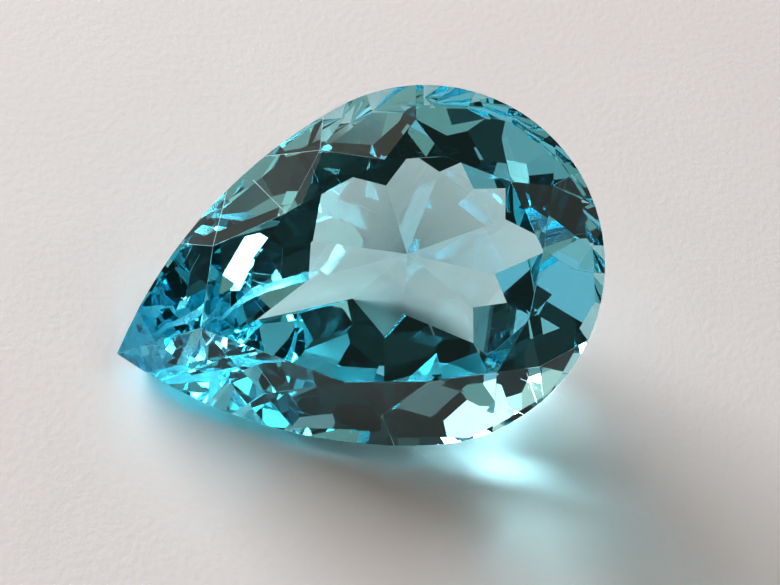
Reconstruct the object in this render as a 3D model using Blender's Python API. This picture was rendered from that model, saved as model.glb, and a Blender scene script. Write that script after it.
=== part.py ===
"""A pear-cut blue topaz gemstone, in metres, with +Z up.

The stone is shaped the way a cutter shapes it. A preform with the pear's outline comes first,
and then each facet is one flat cut that takes away everything outside it. The stone's own axes
are used while cutting: x runs from the point to the round end, z rises out of the table, and the
origin is the centre of the round end at the middle of the girdle. Last, the stone is turned onto
the pavilion facet that it lies on.
"""

from math import atan2
from math import cos
from math import degrees
from math import radians
from math import sin

import bmesh
import bpy
from mathutils import Matrix
from mathutils import Vector

MM = 0.001

# Driving dimensions
HALF_WIDTH = 6.5 * MM            # radius of the round end, half the stone's width
TIP_REACH = 11.49 * MM           # from the centre of the round end to the point
SHOULDER = 103.2                 # bearing in degrees where the round end passes into the sides
GIRDLE_HEIGHT = 0.36 * MM
CROWN_HEIGHT = 1.64 * MM         # from the girdle's upper edge to the table
PAVILION_DEPTH = 6.36 * MM       # from the girdle's lower edge to the culet
CULET_OFFSET = (-0.43 * MM, 0.33 * MM)
STAR_DROP = 0.42                 # share of the crown height that the star facets come down
GIRDLE_STEP = 3.0                # degrees of bearing between points of the girdle's outline
BREAK_ANGLE = 58.0               # slope of the short facets under the girdle, in degrees
WELD = 0.004 * MM                # corners closer than this are one corner
ON_PLANE = 0.0001 * MM           # a corner this close to a cut lies on it
PREFORM_MARGIN = 1 * MM          # the preform stands out this far above and below the stone

GIRDLE_TOP = GIRDLE_HEIGHT / 2
GIRDLE_BOTTOM = -GIRDLE_HEIGHT / 2
TABLE_LEVEL = GIRDLE_TOP + CROWN_HEIGHT
STAR_LEVEL = TABLE_LEVEL - STAR_DROP * CROWN_HEIGHT
CULET_LEVEL = GIRDLE_BOTTOM - PAVILION_DEPTH

# Crown kites: bearing of the point on the girdle that the kite comes down to, then the table
# corner at its upper end, as a bearing and a distance from the axis. The hand-cut stone isn't
# quite symmetric, so every kite has its own row. The corner at the point carries two bezels.
KITES = [
    (0, -6, 4.16 * MM),
    (32, 31, 4.28 * MM),
    (62, 65, 4.05 * MM),
    (92, 95, 4.16 * MM),
    (116, 141.5, 5.29 * MM),
    (None, 178.5, 8.17 * MM),
    (-116, -142, 4.89 * MM),
    (-99, -105, 3.93 * MM),
    (-68, -71, 4.38 * MM),
    (-36, -40.5, 3.99 * MM),
]
POINT_BEZEL_BEARING = 158        # where each bezel at the point meets its neighbour's ridge
POINT_SIDE_BEARING = 138         # bearing of the sides close to the point
UPPER_HALF_SHARE = 0.24          # an upper half touches the girdle this far from its kite

# Pavilion mains, which all meet at the culet: bearing and slope in degrees
MAINS = [
    (15.7, 37.6),
    (33.9, 36.7),
    (63.8, 35.3),
    (119.2, 35.2),
    (137.3, 31.0),
    (-176.1, 24.8),
    (-107.1, 34.6),
    (-80.0, 38.4),
    (-45.1, 35.8),
    (-1.2, 37.4),
]

# Lower halves, the ring of facets outside the mains: bearing, slope, and how far from the axis
# the facet's plane reaches at the level of the girdle's lower edge
LOWER_HALVES = [
    (9.9, 43.2, 7.13 * MM),
    (29.4, 42.5, 7.38 * MM),
    (56.7, 45.1, 7.39 * MM),
    (92.8, 47.9, 7.29 * MM),
    (129.3, 44.0, 8.22 * MM),
    (143.7, 39.3, 9.34 * MM),
    (-123.0, 44.0, 7.51 * MM),
    (-90.4, 44.2, 6.73 * MM),
    (-61.8, 45.0, 6.72 * MM),
    (-28.8, 44.3, 6.95 * MM),
]
BREAK_SHARES = (0.25, 0.75)      # places of the two breaks between neighbouring lower halves
RESTING_ROW = 6                  # row of LOWER_HALVES that the stone lies on, counted from 0


def direction(bearing):
    """Level unit vector at this bearing."""
    angle = radians(bearing)
    return Vector((cos(angle), sin(angle), 0.0))


def facet_normal(bearing, slope, up):
    """Outward normal of a facet that falls away from the axis at this slope."""
    lean = radians(slope)
    return sin(lean) * direction(bearing) + Vector((0.0, 0.0, up * cos(lean)))


def side_arc():
    """Centre and radius of the arc that runs from the shoulder to the point."""
    outward = direction(SHOULDER)
    shoulder = HALF_WIDTH * outward
    chord = Vector((-TIP_REACH, 0.0, 0.0)) - shoulder
    radius = -chord.length_squared / (2 * chord.dot(outward))
    return shoulder - radius * outward, radius


def end_bearing():
    """Bearing that the side arc faces where it arrives at the point."""
    centre, radius = side_arc()
    return degrees(atan2(-centre.y, -TIP_REACH - centre.x))


def girdle_point(bearing, level):
    """The point of the pear's outline that faces this bearing, at this level."""
    centre, radius = side_arc()
    size = abs(bearing)
    if size <= SHOULDER:
        spot = HALF_WIDTH * direction(size)
    elif size < end_bearing():
        spot = centre + radius * direction(size)
    else:
        spot = Vector((-TIP_REACH, 0.0, 0.0))
    side = 1 if bearing >= 0 else -1
    return Vector((spot.x, side * spot.y, level))


def outline_bearings():
    """Bearings of the outline's points, from the point round the round end and back."""
    limit = end_bearing()
    steps = round(limit / GIRDLE_STEP)
    half = [limit * step / steps for step in range(1, steps)]
    return [-bearing for bearing in reversed(half)] + [0.0] + half


def make_preform():
    """The pear outline as a straight-sided block, a little taller than the finished stone."""
    floor = CULET_LEVEL - PREFORM_MARGIN
    block = bmesh.new()
    corners = [block.verts.new(girdle_point(b, floor)) for b in outline_bearings()]
    corners.append(block.verts.new((-TIP_REACH, 0.0, floor)))
    base = block.faces.new(corners)
    raised = bmesh.ops.extrude_face_region(block, geom=[base], use_keep_orig=True)
    top = [item for item in raised["geom"] if isinstance(item, bmesh.types.BMVert)]
    bmesh.ops.translate(block, verts=top, vec=(0.0, 0.0, TABLE_LEVEL + PREFORM_MARGIN - floor))
    bmesh.ops.recalc_face_normals(block, faces=block.faces)
    return block


def cut_facet(block, normal, spot):
    """Grind one facet: everything outside the plane goes, and the flat is closed."""
    geometry = block.verts[:] + block.edges[:] + block.faces[:]
    result = bmesh.ops.bisect_plane(
        block,
        geom=geometry,
        dist=ON_PLANE,
        plane_co=spot,
        plane_no=normal,
        clear_outer=True,
    )
    rim = [item for item in result["geom_cut"] if isinstance(item, bmesh.types.BMEdge)]
    rim = [edge for edge in rim if edge.is_boundary]
    if rim:
        bmesh.ops.holes_fill(block, edges=rim, sides=0)


def meeting_point(planes):
    """The one point that lies on three planes, each given as a normal and a point on it."""
    rows = Matrix([normal for normal, spot in planes])
    offsets = Vector([normal.dot(spot) for normal, spot in planes])
    return rows.inverted() @ offsets


def plane_through(first, second, third):
    """Outward plane through three points of the crown."""
    normal = (second - first).cross(third - first).normalized()
    if normal.z < 0:
        normal.negate()
    return normal, first


def table_corners():
    corners = []
    for touch, bearing, distance in KITES:
        corner = distance * direction(bearing)
        corner.z = TABLE_LEVEL
        corners.append(corner)
    return corners


def slope_between(upper, lower, bearing):
    """Slope of the plane that faces this bearing and holds both points."""
    run = (lower - upper).dot(direction(bearing))
    return degrees(atan2(upper.z - lower.z, run))


def kite_planes(corners):
    planes = []
    for (touch, bearing, distance), corner in zip(KITES, corners):
        if touch is None:
            planes.append(None)
            continue
        foot = girdle_point(touch, GIRDLE_TOP)
        slope = slope_between(corner, foot, touch)
        planes.append((facet_normal(touch, slope, 1), foot))
    return planes


def star_apexes(kites):
    """Lower corner of each star, where two kites meet, or a kite and a bezel at the point."""
    level = (Vector((0.0, 0.0, 1.0)), Vector((0.0, 0.0, STAR_LEVEL)))
    apexes = []
    for here, there in zip(kites, kites[1:] + kites[:1]):
        if here and there:
            apexes.append(meeting_point([here, there, level]))
            continue
        side = 1 if here else -1
        across = direction(side * POINT_BEZEL_BEARING + 90)
        upright = (across, Vector((0.0, 0.0, 0.0)))
        apexes.append(meeting_point([here or there, upright, level]))
    return apexes


def crown_facets():
    """Every cut above the girdle: table, kites, stars, bezels at the point and upper halves."""
    corners = table_corners()
    kites = kite_planes(corners)
    apexes = star_apexes(kites)
    facets = [(Vector((0.0, 0.0, 1.0)), Vector((0.0, 0.0, TABLE_LEVEL)))]
    facets += [plane for plane in kites if plane]
    tip = Vector((-TIP_REACH, 0.0, GIRDLE_TOP))
    for index, apex in enumerate(apexes):
        after = (index + 1) % len(KITES)
        facets.append(plane_through(corners[index], corners[after], apex))
        side = 1 if apex.y > 0 else -1
        touches = [KITES[index][0], KITES[after][0]]
        for own, other in (touches, reversed(touches)):
            if own is None:
                point_corner = corners[index] if KITES[index][0] is None else corners[after]
                facets.append(plane_through(point_corner, tip, apex))
            start = side * POINT_SIDE_BEARING if own is None else own
            end = side * POINT_SIDE_BEARING if other is None else other
            facing = start + UPPER_HALF_SHARE * (end - start)
            foot = girdle_point(facing, GIRDLE_TOP)
            slope = slope_between(apex, foot, facing)
            facets.append((facet_normal(facing, slope, 1), foot))
    return facets


def pavilion_facets():
    """Every cut below the girdle: mains, lower halves and the breaks between them."""
    culet = Vector((CULET_OFFSET[0], CULET_OFFSET[1], CULET_LEVEL))
    facets = [(facet_normal(bearing, slope, -1), culet) for bearing, slope in MAINS]
    for bearing, slope, reach in LOWER_HALVES:
        spot = reach * direction(bearing)
        spot.z = GIRDLE_BOTTOM
        facets.append((facet_normal(bearing, slope, -1), spot))
    bearings = [row[0] for row in LOWER_HALVES]
    for here, there in zip(bearings, bearings[1:] + bearings[:1]):
        if here > 0 > there:
            continue
        for share in BREAK_SHARES:
            facing = here + share * (there - here)
            limit = POINT_SIDE_BEARING
            facing = max(-limit, min(limit, facing))
            foot = girdle_point(facing, GIRDLE_BOTTOM)
            facets.append((facet_normal(facing, BREAK_ANGLE, -1), foot))
    return facets


def lay_down(block):
    """Turn the stone onto its resting facet, its length along X, and set it on z = 0."""
    bearing, slope, reach = LOWER_HALVES[RESTING_ROW]
    up = -facet_normal(bearing, slope, -1)
    along = Vector((1.0, 0.0, 0.0))
    along = (along - along.dot(up) * up).normalized()
    turn = Matrix((along, up.cross(along), up))
    bmesh.ops.transform(block, matrix=turn.to_4x4(), verts=block.verts)
    low = [min(vert.co[axis] for vert in block.verts) for axis in range(3)]
    high = [max(vert.co[axis] for vert in block.verts) for axis in range(3)]
    shift = Vector((-(low[0] + high[0]) / 2, -(low[1] + high[1]) / 2, -low[2]))
    bmesh.ops.translate(block, verts=block.verts, vec=shift)


def topaz_material():
    material = bpy.data.materials.new("topaz")
    material.use_nodes = True
    shader = material.node_tree.nodes["Principled BSDF"]
    shader.inputs["Base Color"].default_value = (0.45, 0.80, 0.88, 1.0)
    shader.inputs["Roughness"].default_value = 0.0
    shader.inputs["Metallic"].default_value = 0.0
    shader.inputs["IOR"].default_value = 1.62
    shader.inputs["Transmission Weight"].default_value = 1.0
    return material


def make_stone(collection):
    block = make_preform()
    for normal, spot in crown_facets() + pavilion_facets():
        cut_facet(block, normal, spot)
    bmesh.ops.remove_doubles(block, verts=block.verts, dist=WELD)
    bmesh.ops.dissolve_degenerate(block, edges=block.edges, dist=WELD / 2)
    bmesh.ops.recalc_face_normals(block, faces=block.faces)
    lay_down(block)
    mesh = bpy.data.meshes.new("stone")
    block.to_mesh(mesh)
    block.free()
    stone = bpy.data.objects.new("stone", mesh)
    stone.data.materials.append(topaz_material())
    collection.objects.link(stone)
    return stone


for leftover in list(bpy.data.objects):
    bpy.data.objects.remove(leftover)

gem_collection = bpy.data.collections.new("pear_cut_topaz")
bpy.context.scene.collection.children.link(gem_collection)
make_stone(gem_collection)
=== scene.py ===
# %% [markdown]
# # A pear-cut blue topaz
#
# This file dresses one loose gemstone: a clear sky-blue topaz, cut as a pear brilliant about
# 18 mm long, lying on one facet of its pavilion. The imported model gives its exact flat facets.
# Here it gets worn facet edges, a ground girdle, clear blue glass with real refraction and
# absorption, a pale floor and soft light.

from math import cos
from math import exp
from math import pi
from math import radians
from math import sin
from math import tan

import bmesh
import bpy
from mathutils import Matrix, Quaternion
from mathutils import Vector


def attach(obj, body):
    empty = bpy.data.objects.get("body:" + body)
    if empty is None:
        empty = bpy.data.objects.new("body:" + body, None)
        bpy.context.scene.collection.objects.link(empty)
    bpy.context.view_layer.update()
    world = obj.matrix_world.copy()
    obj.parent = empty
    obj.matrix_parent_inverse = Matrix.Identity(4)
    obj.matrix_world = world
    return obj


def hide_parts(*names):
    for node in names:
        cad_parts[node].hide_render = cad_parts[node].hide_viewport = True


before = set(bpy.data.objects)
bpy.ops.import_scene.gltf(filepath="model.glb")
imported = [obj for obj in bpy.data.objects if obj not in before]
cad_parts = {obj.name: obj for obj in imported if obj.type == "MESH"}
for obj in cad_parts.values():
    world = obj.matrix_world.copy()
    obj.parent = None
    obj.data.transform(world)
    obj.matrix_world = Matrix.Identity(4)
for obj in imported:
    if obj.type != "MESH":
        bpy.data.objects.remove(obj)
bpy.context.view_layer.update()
MM = 0.001
print("nodes:", sorted(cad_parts))

# %% [markdown]
# ## The camera
#
# The stone was seen from about 65 mm away, from the pointed end's left, looking steeply down.
# A camera can be placed by hand, or worked out from the stone's outline. Here the outline of the
# girdle and the corners of the table gave the eye's place, the point it looks at and how far the
# picture is turned, so they are written as three plain values.

# %% Camera at the photograph's angle
EYE = Vector((-20.67, -38.25, 57.47)) * MM
AIM = Vector((0.78, -1.03, 5.00)) * MM
PICTURE_TURN = 20.89             # degrees, anticlockwise
FOCAL_LENGTH = 87.69             # millimetres on a sensor 36 mm wide

camera_data = bpy.data.cameras.new("camera")
camera_data.lens = FOCAL_LENGTH
camera_data.sensor_width = 36.0
camera_data.clip_start = 1 * MM
camera_data.clip_end = 10.0
camera = bpy.data.objects.new("camera", camera_data)
bpy.context.scene.collection.objects.link(camera)
upright = (AIM - EYE).to_track_quat("-Z", "Y")
camera.rotation_mode = "QUATERNION"
camera.rotation_quaternion = upright @ Quaternion((0, 0, 1), radians(PICTURE_TURN))
camera.location = EYE
bpy.context.scene.camera = camera
print("camera distance in mm:", round((AIM - EYE).length / MM, 1))

# %% [markdown]
# ## The facets
#
# A polished gem is a set of true planes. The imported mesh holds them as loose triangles, so a
# copy is merged and the triangles of each facet are joined again. The copy stands in for the
# plain solid, which stays as it was.

# %% Copy the facets
WELD = 0.002 * MM
SAME_PLANE = radians(0.4)


def facet_copy(node):
    """A merged copy of the node's mesh, one face for each facet."""
    shape = bmesh.new()
    shape.from_mesh(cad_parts[node].data)
    bmesh.ops.remove_doubles(shape, verts=shape.verts, dist=WELD)
    bmesh.ops.dissolve_limit(
        shape, angle_limit=SAME_PLANE, verts=shape.verts, edges=shape.edges, delimit=set()
    )
    bmesh.ops.recalc_face_normals(shape, faces=shape.faces)
    return shape


shape = facet_copy("stone")
table = max(shape.faces, key=lambda face: face.calc_area())
axis = table.normal.copy()
print("facets, girdle included:", len(shape.faces))
print("table faces:", [round(part, 3) for part in axis])

# %% [markdown]
# ## The ground girdle
#
# The rim where crown and pavilion meet is ground and not polished, so it glows softly where the
# facets mirror. Its flats are the ones that stand upright on the plane of the table. Each face
# carries a value that the material reads: 1 on the girdle, 0 on polished facets.

# %% Mark the girdle
UPRIGHT = 0.02                   # how far a girdle flat may lean, as the sine of the angle
ground = shape.faces.layers.float.new("ground")
worn = shape.faces.layers.float.new("worn")
for face in shape.faces:
    face[ground] = 1.0 if abs(face.normal.dot(axis)) < UPRIGHT else 0.0
rim_faces = [face for face in shape.faces if face[ground] > 0.5]
rim_centre = sum((face.calc_center_median() for face in rim_faces), Vector()) / len(rim_faces)
print("girdle flats:", len(rim_faces))

# %% [markdown]
# ## Worn edges
#
# Facet junctions of a handled stone are never razor sharp: each has a hair-thin flat that
# catches a line of light. A bevel tool would fight with the shortest edges. The stone is convex,
# so each junction can instead be touched with one more cut, whose plane leans halfway between
# its two facets. The depth follows from the wanted width and the angle of the junction.

# %% Wear the junctions
WEAR_WIDTH = 0.022 * MM
SHARP = radians(4)               # junctions flatter than this are left alone
SHORTEST = 0.25 * MM             # and so are shorter ones
GIRDLE_BAND = 0.25 * MM          # junctions further below the rim's middle than this stay crisp
ON_PLANE = 0.0001 * MM           # corners this close to a cut count as lying on it


def junctions(shape):
    """Plane of the worn flat for every long, sharp edge, as a point and a normal."""
    planes = []
    for edge in shape.edges:
        first, second = edge.link_faces
        angle = first.normal.angle(second.normal)
        middle = (edge.verts[0].co + edge.verts[1].co) / 2
        below = (middle - rim_centre).dot(axis) < -GIRDLE_BAND
        if below or angle < SHARP or edge.calc_length() < SHORTEST:
            continue
        normal = (first.normal + second.normal).normalized()
        depth = WEAR_WIDTH / 2 * tan(angle / 2)
        planes.append((middle - depth * normal, normal))
    return planes


def touch(shape, spot, normal):
    """Take away what lies outside the plane and mark the new flat as worn."""
    result = bmesh.ops.bisect_plane(
        shape,
        geom=shape.verts[:] + shape.edges[:] + shape.faces[:],
        dist=ON_PLANE,
        plane_co=spot,
        plane_no=normal,
        clear_outer=True,
    )
    rim = [item for item in result["geom_cut"] if isinstance(item, bmesh.types.BMEdge)]
    rim = [edge for edge in rim if edge.is_boundary]
    if rim:
        for face in bmesh.ops.holes_fill(shape, edges=rim, sides=0)["faces"]:
            face[worn] = 1.0


worn_planes = junctions(shape)
for spot, normal in worn_planes:
    touch(shape, spot, normal)
bmesh.ops.recalc_face_normals(shape, faces=shape.faces)
print("junctions worn:", len(worn_planes), "faces now:", len(shape.faces))

stone_mesh = bpy.data.meshes.new("polished_stone")
shape.to_mesh(stone_mesh)
shape.free()
stone = bpy.data.objects.new("polished_stone", stone_mesh)
bpy.context.scene.collection.objects.link(stone)

# %% [markdown]
# ## Wear of the surface
#
# Three things break the perfect polish: the ground girdle, the worn junctions, and scratches. A
# few scratches are long enough to see one by one, and the rest are hairlines, which are the thin
# crests of a noise stretched along one direction. They could be carved, but they are only a few
# hundredths of a millimetre wide, so a rougher line on the flat facet is enough. All of it sits
# in one node group that gives the roughness.
#
# The node trees below are long chains of small sums, so a few helpers come first. Each adds one
# node, joins up its inputs and hands back its output, so that a chain reads like a formula.

# %% Node helpers
def new_group(name, inputs, outputs):
    """An empty shader node group with these sockets, and its two end nodes."""
    group = bpy.data.node_groups.new(name, "ShaderNodeTree")
    for socket, kind in inputs:
        group.interface.new_socket(socket, in_out="INPUT", socket_type="NodeSocket" + kind)
    for socket, kind in outputs:
        group.interface.new_socket(socket, in_out="OUTPUT", socket_type="NodeSocket" + kind)
    return group, group.nodes.new("NodeGroupInput"), group.nodes.new("NodeGroupOutput")


def feed(tree, node, values):
    """Give each named or numbered input of the node a value or a link."""
    for key, value in values.items():
        if isinstance(value, bpy.types.NodeSocket):
            tree.links.new(value, node.inputs[key])
        else:
            node.inputs[key].default_value = value


def arithmetic(tree, operation, first, second=0.0, third=0.0):
    """Add a sum of up to three numbers and return its result."""
    node = tree.nodes.new("ShaderNodeMath")
    node.operation = operation
    feed(tree, node, {0: first, 1: second, 2: third})
    return node.outputs["Value"]


def vector_math(tree, operation, first, second=(0.0, 0.0, 0.0), result="Vector"):
    """Add a sum of two vectors and return its vector or its value."""
    node = tree.nodes.new("ShaderNodeVectorMath")
    node.operation = operation
    feed(tree, node, {0: first, 1: second})
    return node.outputs[result]


def remap(tree, value, low, high, new_low, new_high):
    """Stretch the range from low to high onto the new one, and hold the value inside it."""
    node = tree.nodes.new("ShaderNodeMapRange")
    feed(tree, node, {
        "Value": value, "From Min": low, "From Max": high, "To Min": new_low, "To Max": new_high,
    })
    return node.outputs["Result"]


def noise(tree, place, scale, detail):
    """Add a smooth random value between 0 and 1 for each place."""
    node = tree.nodes.new("ShaderNodeTexNoise")
    feed(tree, node, {"Vector": place, "Scale": scale, "Detail": detail})
    return node.outputs["Fac"]


print("node helpers: arithmetic, vector_math, remap, noise")

# %% [markdown]
# ## One scratch
#
# A scratch is a straight furrow left by a grain of grit. It could be painted on an image, but an
# image would need the facets unwrapped. Here it is worked out from the distance to a line: the
# nearest point of the line is found first, then how far away it is, measured in scratch widths.

# %% One straight scratch
SCRATCH_CORE = 0.3               # share of the width that is fully rough


def scratch_group():
    """Node group: 1 on the line from Start to End, fading to 0 at Width away from it."""
    group, source, sink = new_group(
        "scratch",
        [("Vector", "Vector"), ("Start", "Vector"), ("End", "Vector"), ("Width", "Float")],
        [("Mask", "Float")],
    )
    to_place = vector_math(group, "SUBTRACT", source.outputs["Vector"], source.outputs["Start"])
    along = vector_math(group, "SUBTRACT", source.outputs["End"], source.outputs["Start"])
    reach = vector_math(group, "DOT_PRODUCT", to_place, along, "Value")
    length = vector_math(group, "DOT_PRODUCT", along, along, "Value")
    share = remap(group, arithmetic(group, "DIVIDE", reach, length), 0.0, 1.0, 0.0, 1.0)
    nearest = group.nodes.new("ShaderNodeVectorMath")
    nearest.operation = "SCALE"
    feed(group, nearest, {0: along, "Scale": share})
    offset = vector_math(group, "SUBTRACT", to_place, nearest.outputs["Vector"])
    distance = vector_math(group, "LENGTH", offset, result="Value")
    nearness = arithmetic(group, "DIVIDE", distance, source.outputs["Width"])
    feed(group, sink, {"Mask": remap(group, nearness, SCRATCH_CORE, 1.0, 1.0, 0.0)})
    return group


print("fully rough up to", SCRATCH_CORE, "of the scratch's width")

# %% [markdown]
# ## All the wear together
#
# The five scratches are the ones that catch the light on the upper left of the crown, near the
# point, at the rim of the round head and on the table. Their ends are given roughly and then
# moved onto the surface. The hairlines come from wiping a stone with a dusty cloth: many, faint
# and all in much the same direction. On the girdle a fine grit noise varies the roughness.

# %% Girdle, junctions, scratches and hairlines together
GIRDLE_ROUGHNESS = 0.30
GIRDLE_GRIT = 22000              # grains for each metre
GRIT_CHANGE = 0.3                # share by which the grit changes the girdle's roughness
GRIT_RANGE = (0.3, 0.7)          # noise values between the smoothest and the roughest grain
WORN_ROUGHNESS = 0.12
SCRATCH_ROUGHNESS = 0.40
HAIRLINE_ROUGHNESS = 0.05
HAIRLINE_LENGTH = 260            # noise waves for each metre along the hairlines
HAIRLINE_FINENESS = 14000        # and across them
HAIRLINE_TURN = (0.3, 0.5, 0.9)  # radians about X, Y and Z
HAIRLINE_LEVEL = 0.72            # noise above this level is a hairline
HAIRLINE_EDGE = 0.06             # and this much higher it has its full roughness

# start and end in millimetres, then width; each is moved onto the surface below
SCRATCHES = [
    ((-3.7, 3.1, 6.5), (-3.0, 1.2, 7.0), 0.022),
    ((-5.8, -1.1, 3.8), (-7.6, -0.6, 2.0), 0.022),
    ((5.0, -4.6, 4.3), (6.5, -4.7, 3.4), 0.022),
    ((5.2, -4.5, 4.5), (5.9, -4.9, 3.1), 0.020),
    ((1.74, -2.8, 5.4), (1.87, -3.1, 5.2), 0.055),
]


def on_surface(place):
    """The point of the stone's surface that is closest to this place, given in millimetres."""
    return stone.closest_point_on_mesh(Vector(place) * MM)[1]


def wear_group():
    """Node group: roughness of the stone's surface."""
    group, source, sink = new_group(
        "stone_wear",
        [("Vector", "Vector"), ("Ground", "Float"), ("Worn", "Float")],
        [("Roughness", "Float")],
    )
    place = source.outputs["Vector"]
    one_scratch = scratch_group()
    marks = 0.0
    for start, end, width in SCRATCHES:
        node = group.nodes.new("ShaderNodeGroup")
        node.node_tree = one_scratch
        feed(group, node, {
            "Vector": place, "Start": on_surface(start), "End": on_surface(end), "Width": width * MM,
        })
        marks = arithmetic(group, "MAXIMUM", node.outputs["Mask"], marks)

    stretch = group.nodes.new("ShaderNodeMapping")
    feed(group, stretch, {
        "Vector": place,
        "Rotation": HAIRLINE_TURN,
        "Scale": (HAIRLINE_LENGTH, HAIRLINE_FINENESS, HAIRLINE_FINENESS),
    })
    crest = noise(group, stretch.outputs["Vector"], 1.0, 0.0)
    full_level = HAIRLINE_LEVEL + HAIRLINE_EDGE
    hairlines = remap(group, crest, HAIRLINE_LEVEL, full_level, 0.0, HAIRLINE_ROUGHNESS)

    grit = noise(group, place, GIRDLE_GRIT, 0.0)
    finest = (1 - GRIT_CHANGE) * GIRDLE_ROUGHNESS
    coarsest = (1 + GRIT_CHANGE) * GIRDLE_ROUGHNESS
    rough = remap(group, grit, *GRIT_RANGE, finest, coarsest)
    rough = arithmetic(group, "MULTIPLY_ADD", rough, source.outputs["Ground"], hairlines)
    rough = arithmetic(group, "MULTIPLY_ADD", source.outputs["Worn"], WORN_ROUGHNESS, rough)
    rough = arithmetic(group, "MULTIPLY_ADD", marks, SCRATCH_ROUGHNESS, rough)
    feed(group, sink, {"Roughness": rough})
    return group


print("scratches:", len(SCRATCHES), "girdle roughness:", GIRDLE_ROUGHNESS)

# %% [markdown]
# ## Topaz
#
# Topaz bends light more than window glass: its index of refraction is about 1.62. The colour
# isn't on the surface but in the depth, so it is an absorption that grows with the path of the
# light through the stone: red goes first, then green, and blue last.

# %% The topaz material
REFRACTION = 1.62
RED_LOSS = 72.0                  # light lost for each metre of path, per colour
GREEN_LOSS = 15.5
BLUE_LOSS = 9.0
LOSSES = (RED_LOSS, GREEN_LOSS, BLUE_LOSS)


def topaz():
    """Clear refracting glass that colours the light along its way."""
    material = bpy.data.materials.new("topaz")
    material.use_nodes = True
    tree = material.node_tree
    shader = tree.nodes["Principled BSDF"]
    place = tree.nodes.new("ShaderNodeTexCoord")
    girdle = tree.nodes.new("ShaderNodeAttribute")
    girdle.attribute_name = "ground"
    junction = tree.nodes.new("ShaderNodeAttribute")
    junction.attribute_name = "worn"
    wear = tree.nodes.new("ShaderNodeGroup")
    wear.node_tree = wear_group()
    feed(tree, wear, {
        "Vector": place.outputs["Object"],
        "Ground": girdle.outputs["Fac"],
        "Worn": junction.outputs["Fac"],
    })
    feed(tree, shader, {
        "Base Color": (1.0, 1.0, 1.0, 1.0),
        "Roughness": wear.outputs["Roughness"],
        "IOR": REFRACTION,
        "Transmission Weight": 1.0,
    })
    body = tree.nodes.new("ShaderNodeVolumeAbsorption")
    kept = (0.0, 1 - GREEN_LOSS / RED_LOSS, 1 - BLUE_LOSS / RED_LOSS, 1.0)
    feed(tree, body, {"Color": kept, "Density": RED_LOSS})
    tree.links.new(body.outputs["Volume"], tree.nodes["Material Output"].inputs["Volume"])
    return material


stone.data.materials.append(topaz())
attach(stone, "root")
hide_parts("stone")
print("light kept after 10 mm:", [round(exp(-loss * 10 * MM), 2) for loss in LOSSES])

# %% [markdown]
# ## The floor
#
# The stone lies on a pale, matt, slightly warm surface. It matters more than usual: it is seen
# through the clear window of the table, and it catches the shadow and the blue light that the
# stone throws. A flat grid is enough. It sits a hair below the stone, so that the resting facet
# and the floor are never in the same plane. The faint mottle and the grain keep it from looking
# like plastic.

# %% Floor
FLOOR_HALF = 0.6
CONTACT_GAP = 0.01 * MM
FLOOR_TONES = ((0.892, 0.867, 0.852, 1.0), (0.908, 0.883, 0.868, 1.0))
FLOOR_ROUGHNESS = 0.85
FLOOR_DETAIL = 3.0
MOTTLE_RANGE = (0.35, 0.65)
MOTTLE_WAVES = 120               # for each metre
GRAIN_WAVES = 3500
GRAIN_HEIGHT = 0.012 * MM

floor_shape = bmesh.new()
bmesh.ops.create_grid(floor_shape, x_segments=1, y_segments=1, size=FLOOR_HALF)
floor_mesh = bpy.data.meshes.new("floor")
floor_shape.to_mesh(floor_mesh)
floor_shape.free()
floor = bpy.data.objects.new("floor", floor_mesh)
floor.location.z = -CONTACT_GAP
bpy.context.scene.collection.objects.link(floor)


def pale_floor():
    """Matt, nearly white, with a faint mottle and a fine grain."""
    material = bpy.data.materials.new("pale_floor")
    material.use_nodes = True
    tree = material.node_tree
    place = tree.nodes.new("ShaderNodeTexCoord").outputs["Object"]
    tone = tree.nodes.new("ShaderNodeMix")
    tone.data_type = "RGBA"
    blotches = noise(tree, place, MOTTLE_WAVES, FLOOR_DETAIL)
    mottle = remap(tree, blotches, *MOTTLE_RANGE, 0.0, 1.0)
    feed(tree, tone, {"Factor": mottle, 6: FLOOR_TONES[0], 7: FLOOR_TONES[1]})
    fibres = noise(tree, place, GRAIN_WAVES, FLOOR_DETAIL)
    grain = tree.nodes.new("ShaderNodeBump")
    feed(tree, grain, {"Distance": GRAIN_HEIGHT, "Height": fibres})
    feed(tree, tree.nodes["Principled BSDF"], {
        "Base Color": tone.outputs[2],
        "Roughness": FLOOR_ROUGHNESS,
        "Normal": grain.outputs["Normal"],
    })
    return material


floor.data.materials.append(pale_floor())
print("floor width in m:", 2 * FLOOR_HALF)

# %% [markdown]
# ## The light
#
# A cut gem is a set of mirrors, so what it shows is the room around it. The room here is dark,
# with one wide low window far behind the stone, a weaker one above it, two small lamps on the
# right, and a few dim cards that stand for pale walls and furniture. The room and most of the
# cards are warm, which gives the shadow its brown. Each facet looks at one direction only.
# Following the eye's rays through the finished solid gave that direction for every facet, and so
# where a bright or a dark patch has to stand. The shadow and the blue light on the floor gave the
# low window's width and height. A picture of a real room could do the same, but then nothing
# could be moved.
#
# Panels that would glare on the crown are hidden from direct mirroring; the stone still shows
# them by its inner reflections.

# %% Lights
PANEL_DISTANCE = 0.5             # metres, like all lengths of the panels
ROOM_COLOUR = (1.0, 0.85, 0.70, 1.0)
ROOM_BRIGHTNESS = 0.03
WARM = (1.0, 0.88, 0.76)
COOL = (0.80, 0.90, 1.0)
DAYLIGHT = (0.96, 0.96, 1.0)
WHITE = (1.0, 1.0, 1.0)


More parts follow.
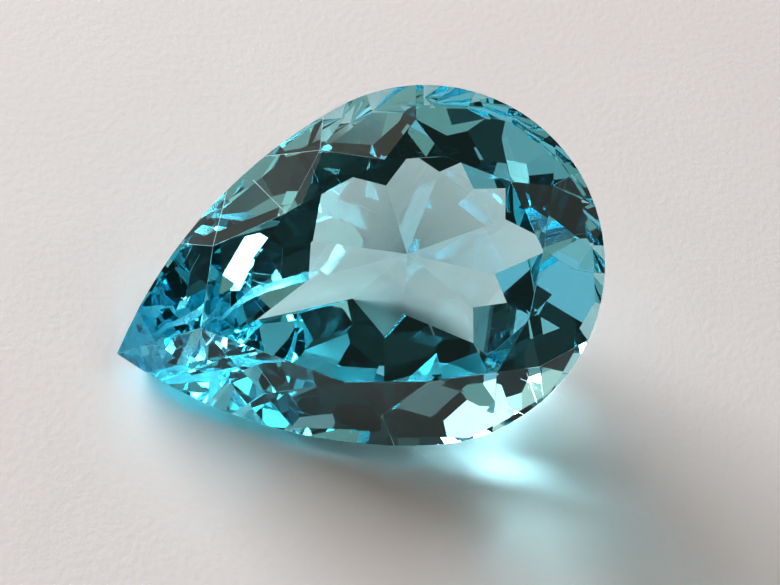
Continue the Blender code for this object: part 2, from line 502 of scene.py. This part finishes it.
def soft_panel(name, bearing, elevation, width, height, radiance, colour=WHITE, mirrored=True):
    """A soft panel half a metre away, facing the stone, that the camera doesn't see.

    The bearing runs clockwise from +Y, both angles are in degrees, and the radiance is the
    brightness of the panel's face. A panel that isn't mirrored leaves no glare on the crown.
    """
    level = radians(elevation)
    turn = radians(bearing)
    toward = Vector((sin(turn) * cos(level), cos(turn) * cos(level), sin(level)))
    data = bpy.data.lights.new(name, "AREA")
    data.shape = "RECTANGLE"
    data.size = width
    data.size_y = height
    data.energy = radiance * pi * width * height
    data.color = colour
    light = bpy.data.objects.new(name, data)
    light.location = PANEL_DISTANCE * toward
    light.rotation_euler = (-toward).to_track_quat("-Z", "Y").to_euler()
    light.visible_camera = False
    light.visible_glossy = mirrored
    bpy.context.scene.collection.objects.link(light)


soft_panel("low window", -32, 20, 0.38, 0.14, 19.8, DAYLIGHT, mirrored=False)
soft_panel("high window", -42, 38, 0.36, 0.33, 0.94, DAYLIGHT, mirrored=False)
soft_panel("pale curtain", -42, 30, 0.36, 0.51, 0.8, WARM)
soft_panel("left card", -105, 7, 0.60, 0.13, 0.40, WARM)
soft_panel("small left card", -96, 42, 0.13, 0.12, 0.38)
soft_panel("near left card", -147, 13, 0.21, 0.21, 0.60, COOL)
soft_panel("upper left card", -134, 29, 0.10, 0.09, 0.40, WARM)
soft_panel("top card", 65, 56, 0.14, 0.10, 0.22)
soft_panel("ceiling card", -32, 62, 0.09, 0.05, 0.20)
soft_panel("near right card", 142, 44, 0.17, 0.13, 0.70, WARM)
soft_panel("right card", 110, 38, 0.30, 0.22, 0.35, WARM)
soft_panel("right lamp", 88, 66, 0.10, 0.10, 4.0, WARM, mirrored=False)
soft_panel("small lamp", 106, 48, 0.03, 0.02, 6.0, mirrored=False)

world = bpy.data.worlds.new("room")
world.use_nodes = True
feed(world.node_tree, world.node_tree.nodes["Background"], {
    "Color": ROOM_COLOUR, "Strength": ROOM_BRIGHTNESS,
})
bpy.context.scene.world = world
print("panels:", len(bpy.data.lights))

# %% [markdown]
# ## How far the light is followed
#
# In the point of the stone the light bounces eight times and more before it finds a way out, so
# the number of allowed bounces is high. The bright patch on the floor is light that went through
# the stone. It would be lost if glossy light were blurred or bright samples cut off early, so the
# blur is off and the limit is high. The picture is shown with a little more contrast.

# %% Light paths
cycles = bpy.context.scene.cycles
cycles.max_bounces = 32
cycles.transmission_bounces = 32
cycles.glossy_bounces = 32
cycles.diffuse_bounces = 4
cycles.blur_glossy = 0.0
cycles.sample_clamp_indirect = 40.0
cycles.transparent_max_bounces = 8
bpy.context.scene.view_settings.view_transform = "Standard"
bpy.context.scene.view_settings.look = "Medium High Contrast"
print("bounces:", cycles.max_bounces)
